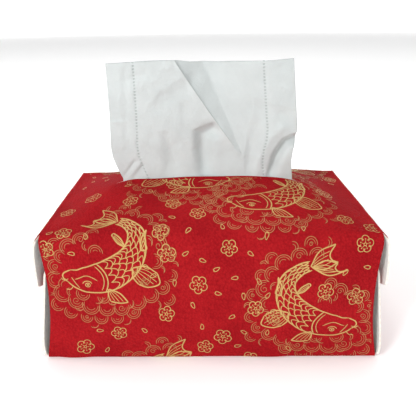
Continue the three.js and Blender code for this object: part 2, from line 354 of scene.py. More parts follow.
def on_wrap(x, s, lift=0.0):
    x, s = np.broadcast_arrays(np.asarray(x, float), np.asarray(s, float))
    y, z, ny, nz = outline(s)
    opening = slot_opening(x, s > 0)
    on_top = np.abs(s) <= TOP_FLAT
    spread = opening + np.abs(s) * (TOP_FLAT - opening) / TOP_FLAT
    y = np.where(on_top, np.where(s > 0, -spread, spread), y)
    inset = END_INSET * np.sin(math.pi * np.clip(z, 0, HEIGHT) / HEIGHT)
    place_x = x * (1 - inset / HALF_LENGTH)
    length_share = np.clip(np.abs(place_x / HALF_LENGTH), 0, 1)
    across = np.clip(np.abs(y / HALF_DEPTH), 0, 1)
    rise = TOP_RISE * (1 - length_share**4) ** 2 * (1 - across**1.5)
    rise = np.where(z > HEIGHT / 2, rise * np.maximum(0, nz), 0)
    belly = BELLY_OUT * np.sin(math.pi * np.clip(z, 0, HEIGHT) / HEIGHT) * (1 - 0.6 * length_share**4)
    out = belly * np.abs(ny) + wall_crease(x, z, s > 0) * np.abs(ny)
    lip = LIP_CURL * np.exp(-np.abs(s) / 5) * smoothstep(0, 1.5, opening)
    soft = softness(x, s) * np.where(nz < -0.5, 0.0, 1.0)
    away = out + soft + lift
    return np.stack([place_x, y + away * ny, z + rise + lip * (nz > 0.9) + (soft + lift) * nz], axis=-1)


def wrap_piece():
    base_steps = np.arange(BASE_FLAT, FRONT_END, 3.0)
    front = np.concatenate(
        [
            np.linspace(1e-6, TOP_FLAT, 36),
            np.linspace(TOP_FLAT, TOP_TURN, 12)[1:],
            np.linspace(TOP_TURN, WALL_END, 42)[1:],
            np.linspace(WALL_END, BASE_FLAT, 9)[1:],
            base_steps[1:],
            [FRONT_END],
        ]
    )
    back = -np.concatenate([front[front <= BASE_FLAT + 1e-6], np.linspace(BASE_FLAT, -BACK_END, 4)[1:]])
    inner = np.linspace(-SLOT_HALF_LENGTH, SLOT_HALF_LENGTH, 79)
    outer = np.linspace(SLOT_HALF_LENGTH, HALF_LENGTH, 20)[1:]
    columns = np.concatenate([-outer[::-1], inner, outer])
    halves = []
    faces = []
    for stations in (front, back[::-1]):
        along, around = np.meshgrid(columns, stations)
        halves.append(on_wrap(along, around).reshape(-1, 3))
        faces.append(grid_faces(len(stations), len(columns))[:, ::-1])
    points = np.vstack(halves)
    faces = np.vstack([faces[0], faces[1] + len(halves[0])])
    # The two halves are one sheet past the ends of the slot.
    width = len(columns)
    last_back_row = len(points) - width
    shared = np.arange(len(points))
    for column, x in enumerate(columns):
        if abs(x) > SLOT_HALF_LENGTH - 0.01:
            shared[last_back_row + column] = column
    faces = shared[faces]
    used, compact = np.unique(faces, return_inverse=True)
    points, faces = points[used], compact.reshape(faces.shape)
    solid, all_faces, layers = thicken(points, faces, LEATHER)
    wrap = mesh_object("leather_wrap", solid, all_faces, LEATHER_LAYERS, layers, 60)
    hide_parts("wrap_skin", "wrap_backing")
    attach(wrap, "cover")
    return wrap


# ---- The end flaps ----

FLAP_ROOT_INSET = 6.0
FLAP_CORNER_CUT = 5.0
FLAP_HOLLOW = 4.2
UPPER_DROP = 36.0
UPPER_BULGE = 3.9
LOWER_RISE = 66.0
LOWER_BULGE = 3.1

# Each flap's side view from its fold (x, z), its flat length, how it is held, how far its edge draws in,
# which way its outer face turns, and where the leather's bend starts and ends
FLAPS = {
    "upper": {
        "curve": [
            (HALF_LENGTH, HEIGHT),
            (HALF_LENGTH + 1.35 * UPPER_BULGE, HEIGHT),
            (HALF_LENGTH + 1.05 * UPPER_BULGE, HEIGHT - 0.6 * UPPER_DROP),
            (HALF_LENGTH + 0.85 * UPPER_BULGE, HEIGHT - UPPER_DROP),
        ],
        "length": 41.0,
        "held": "hung",
        "tuck": 0.0,
        "turn": 1,
        "start": (110.7, 87.3),
        "end": (113.1, 84.9),
    },
    "lower": {
        "curve": [
            (HALF_LENGTH, 0),
            (HALF_LENGTH + 2.1 * LOWER_BULGE, 0),
            (HALF_LENGTH + 0.35 * LOWER_BULGE, 0.55 * LOWER_RISE),
            (HALF_LENGTH - 0.5 * LOWER_BULGE, LOWER_RISE),
        ],
        "length": 69.0,
        "held": "folded",
        "tuck": 2.0,
        "turn": -1,
        "start": (110.7, 0.7),
        "end": (113.1, 3.1),
    },
}


def on_flap(side, level, across, t, lift=0.0):
    """A point of a flap's outer face. across runs from -1 to 1 of its width, t from its fold to its edge."""
    flap = FLAPS[level]
    across, t = np.broadcast_arrays(np.asarray(across, float), np.asarray(t, float))
    p = np.array(flap["curve"], float)
    u = 1 - t
    weights = [u**3, 3 * u**2 * t, 3 * u * t**2, t**3]
    x = sum(w * q[0] for w, q in zip(weights, p))
    z = sum(w * q[1] for w, q in zip(weights, p))
    dx = 3 * (u**2 * (p[1][0] - p[0][0]) + 2 * u * t * (p[2][0] - p[1][0]) + t**2 * (p[3][0] - p[2][0]))
    dz = 3 * (u**2 * (p[1][1] - p[0][1]) + 2 * u * t * (p[2][1] - p[1][1]) + t**2 * (p[3][1] - p[2][1]))
    length = np.hypot(dx, dz)
    nx, nz = -flap["turn"] * dz / length, flap["turn"] * dx / length
    root = FLAP_ROOT_INSET * np.clip(1 - t / 0.2, 0, 1) ** 2
    cut = FLAP_CORNER_CUT * np.clip((t - 0.93) / 0.07, 0, 1) ** 2
    half = HALF_DEPTH - root - smoothstep(0.3, 0.7, t) * flap["tuck"] - cut
    y = across * half
    ripple = 0.25 * np.sin(y / 13 + t * 3 + (1 if side == "left" else 3)) * smoothstep(0.15, 0.5, t)
    ripple = ripple * smoothstep(12, 24, np.abs(y))
    hollow = smoothstep(16, 36, np.abs(y)) * (1 - smoothstep(50, 67, np.abs(y)))
    away = lift - FLAP_HOLLOW * hollow * smoothstep(0.05, 0.4, t) + ripple
    sign = -1.0 if side == "left" else 1.0
    radius = TOP_RADIUS if level == "upper" else BASE_RADIUS
    past = np.clip(np.abs(y) - (HALF_DEPTH - radius), 0, radius)
    drop = flap["turn"] * (radius - np.sqrt(radius**2 - past**2)) * (1 - smoothstep(0, 0.15, t))
    return np.stack([sign * (x + nx * away), y, z - drop + nz * away], axis=-1)


def join_at_fold(piece):
    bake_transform(piece)


def flap_piece(side, level):
    near_fold = np.linspace(0, 0.25, 14)
    middle = np.linspace(0.25, 0.9, 20)
    near_edge = np.linspace(0.9, 1, 7)
    rows = np.concatenate([near_fold, middle[1:], near_edge[1:]])
    columns = np.linspace(-1, 1, 71)
    across, t = np.meshgrid(columns, rows)
    points = on_flap(side, level, across, t).reshape(-1, 3)
    faces = grid_faces(len(rows), len(columns))
    facing_out = (side == "right") == (level == "lower")
    if not facing_out:
        faces = faces[:, ::-1]
    solid, all_faces, layers = thicken(points, faces, LEATHER)
    flap = mesh_object(f"{side}_{level}_flap_leather", solid, all_faces, LEATHER_LAYERS, layers, 60)
    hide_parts(f"{side}_{level}_flap_skin", f"{side}_{level}_flap_backing")
    join_at_fold(flap)
    return flap


# ---- The gold print ----


def smooth_line(points, step=1.1, closed=False):
    """A smooth curve through points, with a point about every step."""
    p = np.array(points, float)
    if closed:
        padded = np.vstack([p[-1], p, p[:2]])
    else:
        padded = np.vstack([2 * p[0] - p[1], p, 2 * p[-1] - p[-2]])
    out = []
    for a, b, c, d in zip(padded, padded[1:], padded[2:], padded[3:]):
        count = max(2, int(np.linalg.norm(c - b) / step) + 1)
        t = np.linspace(0, 1, count, endpoint=False)[:, None]
        bend = (2 * a - 5 * b + 4 * c - d) * t**2 + (3 * b - a - 3 * c + d) * t**3
        out.append(0.5 * (2 * b + (c - a) * t + bend))
    out.append(p[:1] if closed else p[-1:])
    return np.vstack(out)


def arc(cx, cy, radius, start, end, squash=1.0, step=1.0):
    count = max(5, int(abs(end - start) * math.pi / 180 * radius / step) + 2)
    angle = np.radians(np.linspace(start, end, count))
    return np.stack([cx + radius * np.cos(angle), cy + radius * squash * np.sin(angle)], axis=-1)


class Print:
    """Thin printed lines, drawn on the flat sheet and laid on a surface."""

    def __init__(self, name, surface, inside, material):
        self.name, self.surface, self.inside, self.material = name, surface, inside, material
        self.points, self.faces, self.count = [], [], 0

    def stroke(self, line, width):
        line = np.asarray(line, float)
        keep = self.inside(line[:, 0], line[:, 1])
        starts = np.flatnonzero(np.diff(np.concatenate([[0], keep.astype(int), [0]])))
        for begin, end in zip(starts[::2], starts[1::2]):
            if end - begin >= 3:
                self.ribbon(line[begin:end], width)

    def ribbon(self, line, width):
        tangent = np.gradient(line, axis=0)
        tangent /= np.maximum(np.linalg.norm(tangent, axis=1, keepdims=True), 1e-6)
        side = np.stack([-tangent[:, 1], tangent[:, 0]], axis=-1)
        half = np.full(len(line), width / 2)
        half[[0, -1]] *= 0.45
        left, right = line + side * half[:, None], line - side * half[:, None]
        section = [
            self.surface(left[:, 0], left[:, 1], 0.11),
            self.surface(right[:, 0], right[:, 1], 0.11),
            self.surface(line[:, 0], line[:, 1], -0.12),
        ]
        rings = np.stack(section, axis=1).reshape(-1, 3)
        for i in range(len(line) - 1):
            a, b = self.count + 3 * i, self.count + 3 * i + 3
            self.faces += [(a + k, a + (k + 1) % 3, b + (k + 1) % 3, b + k) for k in range(3)]
        last = self.count + 3 * (len(line) - 1)
        self.faces += [(self.count + 2, self.count + 1, self.count), (last, last + 1, last + 2)]
        self.points.append(rings)
        self.count += len(rings)

    def piece(self):
        made = mesh_object(self.name, np.vstack(self.points), self.faces, [self.material], None, 40)
        return made


class Placed:
    """A motif's own coordinates turned, mirrored and moved onto the sheet."""

    def __init__(self, ink, x, s, mirror=False, degrees=0.0, size=1.0):
        self.ink, self.x, self.s, self.flip, self.size = ink, x, s, -1 if mirror else 1, size
        self.c, self.d = math.cos(math.radians(degrees)), math.sin(math.radians(degrees))

    def stroke(self, line, width):
        line = np.asarray(line, float) * self.size
        u, v = line[:, 0] * self.flip, line[:, 1]
        placed = np.stack([self.x + self.c * u - self.d * v, self.s + self.d * u + self.c * v], axis=-1)
        self.ink.stroke(placed, width)


OUTLINE = 0.85
DETAIL = 0.56
HAIR = 0.42
KOI_SIZE = 1.07


def fan(ink, root, tips, rays, bow=0.18):
    """A fin: its sides run from the root to the first and last tip, its edge through the tips."""
    root, tips = np.array(root, float), np.array(tips, float)
    edge = smooth_line(tips, 0.8)
    middle = tips.mean(0)

    def bowed(end, amount):
        mid = (root + end) / 2
        way = end - root
        return smooth_line([root, mid + np.array([-way[1], way[0]]) * amount, end], 0.8)

    turn = np.sign(np.cross(tips[0] - root, middle - root))
    ink.stroke(bowed(tips[0], -turn * bow), OUTLINE)
    ink.stroke(bowed(tips[-1], turn * bow), OUTLINE)
    ink.stroke(edge, OUTLINE)
    for i in range(1, rays + 1):
        share = i / (rays + 1)
        end = edge[int(share * (len(edge) - 1))]
        ray = bowed(root + (end - root) * 0.9, turn * bow * (2 * share - 1))
        ink.stroke(ray[len(ray) // 6 :], HAIR)


KOI_SPINE = [(-28, 15), (-22, 17), (-13, 17), (-2, 14), (9, 7), (15, -2), (15, -11), (9, -18), (3, -21)]
KOI_HALF = [4.0, 7.6, 9.0, 9.3, 8.6, 7.0, 5.2, 3.7, 2.8]


def koi(ink):
    """A carp of plain curved lines, its head to the left and its tail curled over its back."""
    spine = smooth_line(KOI_SPINE, 0.9)
    run = np.concatenate([[0], np.cumsum(np.linalg.norm(np.diff(spine, axis=0), axis=1))])
    knots = np.linspace(0, 1, len(KOI_HALF))
    share = run / run[-1]
    half = np.interp(share, knots, KOI_HALF)
    tangent = np.gradient(spine, axis=0)
    tangent /= np.linalg.norm(tangent, axis=1, keepdims=True)
    side = np.stack([-tangent[:, 1], tangent[:, 0]], axis=-1)

    def at(t, v):
        """v is -1 on the back of the curl and 1 on its outside."""
        t = np.clip(t, 0, 1)
        centre = np.stack([np.interp(t, share, spine[:, k]) for k in (0, 1)], axis=-1)
        way = np.stack([np.interp(t, share, side[:, k]) for k in (0, 1)], axis=-1)
        wide = np.interp(t, share, half)
        return centre + way * (np.asarray(v) * wide)[..., None]

    body = np.linspace(0, 1, 60)
    for v in (-1, 1):
        ink.stroke(at(body, np.full(60, float(v))), OUTLINE)
    ink.stroke(smooth_line([at(0.0, -1.0), (-31.5, 13.5), (-32.0, 16.5), at(0.0, 1.0)]), OUTLINE)
    # The head: gill, cheek, mouth, nostril, eye and barbels
    across = np.linspace(-1, 1, 14)
    ink.stroke(at(0.27 + 0.045 * (1 - across**2), across), OUTLINE)
    ink.stroke(at(0.245 + 0.04 * (1 - across**2), across * 0.85), DETAIL)
    ink.stroke(at(np.linspace(0.05, 0.23, 12), 0.15 - 0.45 * np.sin(np.linspace(0, math.pi, 12))), DETAIL)
    ink.stroke(at(np.linspace(0.02, 0.09, 8), np.linspace(0.1, 0.85, 8)), DETAIL)
    eye = at(np.array(0.15), np.array(0.42))
    ink.stroke(arc(*eye, 1.5, 0, 360, 0.8, 0.6), DETAIL)
    ink.stroke(arc(*eye, 0.45, 0, 360, 1.0, 0.25), 0.5)
    ink.stroke(arc(eye[0] - 0.3, eye[1] - 0.4, 2.9, 190, 350, 0.7, 0.8), DETAIL)
    ink.stroke(smooth_line([(-29, 17), (-31.5, 18), (-33.5, 16.5)]), DETAIL)
    ink.stroke(smooth_line([(-26, 21), (-28, 23.5), (-31, 23.5)]), DETAIL)
    # Overlapping scales
    rows = 15
    for row in range(rows):
        t = 0.33 + 0.6 * row / (rows - 1)
        counts = 3 if row % 2 else 4
        wide = 1.0 / counts
        for k in range(counts):
            v0 = -1 + 2 * wide * k
            bulge = np.sin(np.linspace(0, math.pi, 9)) ** 0.7
            scale = at(t + 0.052 * bulge, v0 + 2 * wide * np.linspace(0, 1, 9))
            ink.stroke(smooth_line(scale, 0.9), DETAIL)
    # The tail, in two lobes, and the fins
    fan(ink, (3, -20.5), [(-9, -35), (-7, -29), (-9, -25.5), (-13, -24.5)], 4)
    fan(ink, (2, -20), [(-13, -24), (-12, -21), (-15, -19), (-20, -20.5)], 4)
    fan(ink, (12, 10), [(27, 13.5), (28, 20), (21, 22), (15, 20)], 5)
    fan(ink, (-4, 23), [(8, 31), (3, 31.5), (-3, 30.5)], 3, 0.12)
    fan(ink, (9, -3), [(2, -10.5), (1, -9.5), (1.5, -8.5)], 2, 0.1)
    fan(ink, (18, -1), [(21.5, -12), (21, -7), (22, -2)], 2, 0.1)


def blossom(ink, x, s, size, turn, petals=5):
    for k in range(petals):
        angle = math.radians(turn + 360 * k / petals)
        c, d = math.cos(angle), math.sin(angle)
        px, ps = x + size * 0.6 * c, s + size * 0.6 * d
        opening = math.degrees(angle)
        ink.stroke(arc(px, ps, size * 0.43, opening - 128, opening + 128, 1.0, 0.55), 0.5)
        ink.stroke([(x + size * r * c, s + size * r * d) for r in (0.2, 0.32, 0.44)], 0.4)
        dot = size * 0.58
        ink.stroke(arc(x + dot * c, s + dot * d, 0.3, 0, 360, 1.0, 0.3), 0.35)
    ink.stroke(arc(x, s, size * 0.16, 0, 360, 1.0, 0.35), 0.45)


def petal(ink, x, s, size, turn):
    c, d = math.cos(math.radians(turn)), math.sin(math.radians(turn))
    drop = [(-1, 0), (-0.3, -0.42), (0.5, -0.45), (1, -0.1)]
    drop += [(0.72, 0.05), (0.95, 0.25), (0.4, 0.5), (-0.3, 0.35)]
    placed = [(x + size * (c * a - d * b), s + size * (d * a + c * b)) for a, b in drop]
    ink.stroke(smooth_line(placed, 0.5, closed=True), 0.45)


def puff(ink, x, s, radius, facing, spiral):
    """One rounded lobe of a cloud: two lines side by side, and inside them a curl or a crescent."""
    ink.stroke(arc(x, s, radius, facing - 105, facing + 105), HAIR)
    ink.stroke(arc(x, s, radius - 1.3, facing - 95, facing + 95), 0.34)
    if spiral:
        angle = np.radians(facing + np.linspace(-90, 400, 30))
        reach = np.linspace(radius - 2.7, 0.5, 30)
        ink.stroke(np.stack([x + reach * np.cos(angle), s + reach * np.sin(angle)], axis=-1), 0.34)
    else:
        ink.stroke(arc(x, s, radius - 2.9, facing - 70, facing + 70), 0.34)


def cloud_bank(ink):
    """The clouds round one koi: lobes, each (x, s, radius, the way it faces in degrees), and crescents."""
    for k, (x, s, radius, facing) in enumerate(KOI_CLOUD):
        puff(ink, x, s, radius, facing, k % 3 == 0)
    for x, s, radius, facing in KOI_CRESCENTS:
        ink.stroke(arc(x, s, radius, facing + 90, facing + 230), 0.4)
        ink.stroke(arc(x + 0.5, s + 0.5, radius * 0.7, facing + 100, facing + 215), 0.36)


# Lobes round a koi, in its own coordinates, below and beside it
KOI_CLOUD = [
    (-38, 10, 5.0, 170), (-40, 19, 5.5, 180), (-36, 28, 6.0, 150), (-27, 33, 5.5, 110), (-17, 36, 6.0, 95),
    (-6, 37, 5.5, 85), (4, 37, 5.0, 80), (15, 33, 5.5, 60), (24, 29, 5.0, 45), (32, 24, 4.5, 30),
    (-33, 3, 4.5, 200), (-27, -3, 5.5, 230), (-19, -8, 5.0, 250), (-10, 0, 4.5, 270), (28, 6, 5.0, 10),
    (31, -4, 5.5, 350), (27, -14, 5.0, 330), (21, -22, 5.5, 310), (12, -28, 5.0, 290), (1, -30, 4.5, 270),
    (-47, 14, 4.0, 160), (-46, 25, 4.5, 170), (-40, 36, 4.5, 140), (-31, 41, 4.5, 120), (-20, 44, 4.0, 100),
    (-10, 44, 4.5, 90), (1, 44, 4.0, 85), (12, 40, 4.5, 70), (38, 16, 4.0, 20), (36, 32, 4.0, 45),
    (-41, 2, 4.0, 190), (-36, -5, 4.0, 215), (-12, -12, 4.0, 260), (38, 1, 4.0, 0), (34, -12, 4.0, 335),
    (29, -24, 4.0, 320), (6, -36, 4.0, 280), (-8, 30, 4.0, 80), (-22, 28, 4.5, 110), (20, 18, 4.0, 60),
]

# Loose crescents among the lobes: x, s, radius, the way they open
KOI_CRESCENTS = [
    (-34, 22, 4.0, 60), (-30, 27, 3.0, 20), (-12, 31, 3.5, 250), (-2, 32, 3.0, 290), (9, 34, 3.2, 230),
    (-44, 31, 3.0, 90), (-25, 37, 3.0, 300), (27, 36, 3.4, 200), (31, 12, 3.0, 180), (40, 9, 3.0, 150),
    (24, -6, 3.2, 170), (33, -19, 3.0, 120), (17, -33, 3.2, 60), (-4, -38, 3.0, 30), (-29, -9, 3.4, 80),
    (-44, -2, 3.0, 40), (-15, -4, 3.0, 10), (-50, 20, 3.0, 10), (-15, 49, 3.0, 270), (7, 46, 3.0, 250),
]

# Places on the flat sheet: x, s, mirrored, turned
KOI_PLACES = [
    (-64, 74, False, 0), (47, 15, False, 0), (66, 106, True, 6), (-27, 174, True, 0),
    (-19, -12, True, 0), (58, -62, False, -10), (-70, -92, True, 6), (24, -132, True, -8),
    (-60, 214, False, 12), (52, 196, True, 0), (-18, 258, True, 10), (86, 262, False, 0),
]

# Blossoms and loose petals on the top and the front: x, s
BLOSSOMS = [
    (-85, 15), (-55, 30), (-25, 35), (-25, 10), (-8, 46), (-100, 30), (85, 10), (40, -15), (90, 48),
    (106, 56), (-95, 60), (-32, 62), (-28, 75), (12, 72), (98, 70), (-8, 96), (-30, 116), (-62, 130),
    (-85, 142), (-106, 72), (76, 100), (97, 105), (30, 112), (42, 118), (8, 134), (-4, 143), (26, 153),
]

PETALS = [
    (-90, 75), (-80, 64), (-104, 60), (-5, 80), (-24, 95), (-38, 90), (-45, 128), (-70, 145), (-75, 128),
    (-12, 110), (-14, 62), (-25, 50), (-6, 126), (4, 86), (26, 76), (36, 65), (16, 92), (32, 94), (38, 103),
    (5, 102), (22, 104), (14, 118), (22, 130), (38, 131), (18, 142), (52, 145), (88, 88), (102, 85), (8, 58),
    (-16, 75), (-42, 84), (60, 60), (-60, 8), (-42, 18),
]


def wrap_inside(x, s):
    on_sheet = (np.abs(x) < 108.8) & (s > BACK_END + 1) & (s < FRONT_END - 16)
    at_slot = (np.abs(s) < 1.2) & (np.abs(x) < SLOT_HALF_LENGTH + 1)
    return on_sheet & ~at_slot


def scattered(count, low, high, keep_off, spacing):
    """Places between two rows of the sheet, clear of the carp and of each other."""
    found = []
    for _ in range(count * 30):
        x, s = random.uniform(-104, 104), random.uniform(low, high)
        far = all(math.hypot(x - a, s - b) > reach for a, b, reach in keep_off)
        if far and all(math.hypot(x - a, s - b) > spacing for a, b in found):
            found.append((x, s))
        if len(found) == count:
            break
    return found


def wrap_prints():
    lines = Print("gold_lines_wrap", on_wrap, wrap_inside, GOLD)
    faint = Print("thin_gold_lines_wrap", on_wrap, wrap_inside, FAINT_GOLD)
    for x, s, mirror, degrees in KOI_PLACES:
        koi(Placed(lines, x, s, mirror, degrees, KOI_SIZE))
        cloud_bank(Placed(faint, x, s, mirror, degrees))
    for k, (x, s) in enumerate(BLOSSOMS):
        blossom(lines, x, s, 5.2 if k % 3 else 5.8, 40.0 * k)
    for k, (x, s) in enumerate(PETALS):
        petal(lines, x, s, 2.3, 67.0 * k)
    off = [(x, s, 38) for x, s, *_ in KOI_PLACES]
    more = scattered(26, BACK_END + 8, -22, off, 15) + scattered(20, 164, FRONT_END - 24, off, 15)
    for k, (x, s) in enumerate(more):
        blossom(lines, x, s, 5.4, 50.0 * k)
    near = off + [(x, s, 9) for x, s in more]
    loose = scattered(46, BACK_END + 6, -16, near, 9) + scattered(30, 160, FRONT_END - 22, near, 9)
    for k, (x, s) in enumerate(loose):
        petal(lines, x, s, 2.3, 80.0 * k)
    for ink in (lines, faint):
        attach(ink.piece(), "cover")


def flap_prints(side, level):
    long = FLAPS[level]["length"]

    def surface(x, down, lift):
        return on_flap(side, level, x / HALF_DEPTH, down / long, lift)

    def inside(x, down):
        return (np.abs(x) < 65) & (down > 1.0) & (down < long - 2)

    lines = Print(f"gold_lines_{side}_{level}_flap", surface, inside, GOLD)
    faint = Print(f"thin_gold_lines_{side}_{level}_flap", surface, inside, FAINT_GOLD)
    left = side == "left"
    x, s = (-34 if left else 30), (12 if level == "upper" else 38)
    koi(Placed(lines, x, s, left, 10 if left else -12))
    cloud_bank(Placed(faint, x, s, left, 10 if left else -12))
    off = [(x, s, 36)]
    if level == "upper":
        off.append((0, 29, 12))
    flowers = scattered(7, 3, long - 6, off, 15)
    for k, (a, b) in enumerate(flowers):
        blossom(lines, a * 0.6, b, 5.4, 60.0 * k)
    for k, (a, b) in enumerate(scattered(12, 3, long - 5, off + [(c, d, 9) for c, d in flowers], 9)):
        petal(lines, a * 0.6, b, 2.3, 75.0 * k)
    for ink in (lines, faint):
        join_at_fold(ink.piece())


# ---- The standing tissue ----

# The sheet's top edge as x and z, and its side edges as z and x
TISSUE_TOP = [(-76, 191.2), (-44, 192.6), (-25, 193.2), (-15, 191.5)]
TISSUE_TOP += [(5, 190.6), (30, 191.6), (47, 192.3), (61, 193.0)]
TISSUE_LEFT = [(78, -64), (104, -67.5), (113, -71.5), (121, -74.5), (129, -75.6), (155, -75.3), (196, -75.8)]
TISSUE_RIGHT = [(78, 60), (104, 62), (117, 60.8), (126, 61.8), (134, 64), (142, 64.6), (187, 60.6), (196, 60)]
TISSUE_FOOT = 104.0  # where the edges' shown part begins
TISSUE_SHOWN_ROWS = 113
TISSUE_WIDTH_SHARE = 0.98  # of the edges above, once it is moved right by TISSUE_SHIFT
TISSUE_SHIFT = 1.8
PLEAT_FOOT = 122.0  # the pleat closes here, and its folded edge climbs up to the left from it
EMBOSS_INSET_LEFT = 19.9  # from each side edge to the dotted line pressed along it
EMBOSS_INSET_RIGHT = 21.6
# Distances of the columns of points in from each side edge, up to the dotted line and across it
LEFT_BORDER = np.arange(14) * 1.4
RIGHT_BORDER = np.arange(14, -1, -1) * 1.38
DOT_STEPS = np.array([-1.6, -0.8, 0, 0.8, 1.6])
DOT_COLUMNS = (len(LEFT_BORDER) + 2, -len(RIGHT_BORDER) - 3)
TAIL_LENGTHS = (14.0, 12.0)  # the tail turns up and down again in the throat


def along(points, value):
    keys, values = zip(*points)
    return np.interp(value, keys, values)


def near_line(x, z, line, endless=False):
    """Distance from a broken line, its side (positive to the right of a line drawn downwards) and how far
    along the line the nearest point is."""
    best = np.full(np.shape(x), 1e9)
    over = np.zeros(np.shape(x))
    reached = np.zeros(np.shape(x))
    passed = 0.0
    for k, ((ax, az), (bx, bz)) in enumerate(zip(line, line[1:])):
        dx, dz = bx - ax, bz - az
        length = math.hypot(dx, dz)
        low = -9 if endless and k == 0 else 0
        high = 9 if endless and k == len(line) - 2 else 1
        t = np.clip(((x - ax) * dx + (z - az) * dz) / length**2, low, high)
        distance = np.hypot(x - ax - t * dx, z - az - t * dz)
        closer = distance < best
        best = np.where(closer, distance, best)
        over = np.where(closer, np.sign(dx * (z - az) - dz * (x - ax)), over)
        reached = np.where(closer, passed + t * length, reached)
        passed += length
    return best, over, reached


# Steps: a line, and how far the sheet slopes back from it and over what width, on the side that is to the
# right of a line drawn downwards. The slope faces away from the light.
TISSUE_STEPS = [
    ([(6, 150), (-4, 146), (-13, 142), (-13, 126), (-8, 94)], 5.0, 9.0),
    ([(68, 141), (54, 135), (46, 123), (38, 92)], 5.5, 5.5),
    ([(-10, 188), (-38, 170), (-50, 156)], 1.3, 9.0),
    ([(-23, 166), (-23, 138)], 0.8, 5.0),
    ([(-65, 190), (-66, 160), (-67, 130)], 0.6, 4.0),
    ([(-56, 150), (-80, 152)], 0.4, 2.0),
    ([(30, 148), (25, 120), (26, 94)], 0.9, 6.0),
    ([(-57, 122), (-75, 98)], 1.5, 2.4),
    ([(-51, 119), (-70, 94)], 1.5, 2.4),
    ([(-40, 142), (-36, 120), (-41, 94)], 1.2, 7.0),
    ([(30, 188), (33, 160), (30, 138)], 0.7, 9.0),
    ([(64, 157), (46, 160), (22, 170)], 0.8, 8.0),
]

# Folds: a line, how far the sheet goes back (positive) or comes forward there, and how wide it is
TISSUE_FOLDS = [
    ([(-2, 140), (-5, 126), (-7, 108)], 1.6, 7.0),
    ([(56, 106), (55, 116), (60, 126)], -1.0, 7.0),
    ([(34, 104), (38, 122), (44, 134), (54, 143)], -1.4, 4.0),
    ([(-72, 148), (-62, 149)], -0.6, 1.5),
    ([(-60, 101), (-52, 110)], 1.0, 2.4),
    ([(-30, 130), (-27, 112), (-30, 102)], 1.0, 4.0),
    ([(50, 186), (52, 160), (56, 146)], 0.6, 5.0),
    ([(-66, 178), (-48, 184)], 0.5, 3.0),
    ([(-58, 172), (-30, 188)], -0.5, 4.0),
]


def end_fade(reached, line):
    """A step dies out towards the two ends of its line."""
    length = sum(math.dist(a, b) for a, b in zip(line, line[1:]))
    return smoothstep(0, 7, reached) * (1 - smoothstep(length - 11, length - 1, reached))


def crumple(x, z):
    """The paper's own small facets."""
    out = np.zeros(np.shape(x))
    for index, value in np.ndenumerate(x):
        p = Vector((value / 17, 0.3, z[index] / 21))
        q = Vector((value / 6.5, 7.3, z[index] / 8))
        out[index] = 0.75 * (0.5 - abs(noise.noise(p))) + 0.3 * (0.5 - abs(noise.noise(q)))
    return out


def fold_edge(z):
    """The x of the pleat's folded edge."""
    return np.where(z > PLEAT_FOOT, 22.5 - 0.68 * (z - PLEAT_FOOT), 22.5 + 0.1 * (PLEAT_FOOT - z))


def strip_foot(z):
    """Where the strip right of the pleat's folded edge stops sloping back."""
    return np.interp(z, [105, 122, 134, 163, 192, 196], [26, 24, 18.8, 7.4, -5, -6])


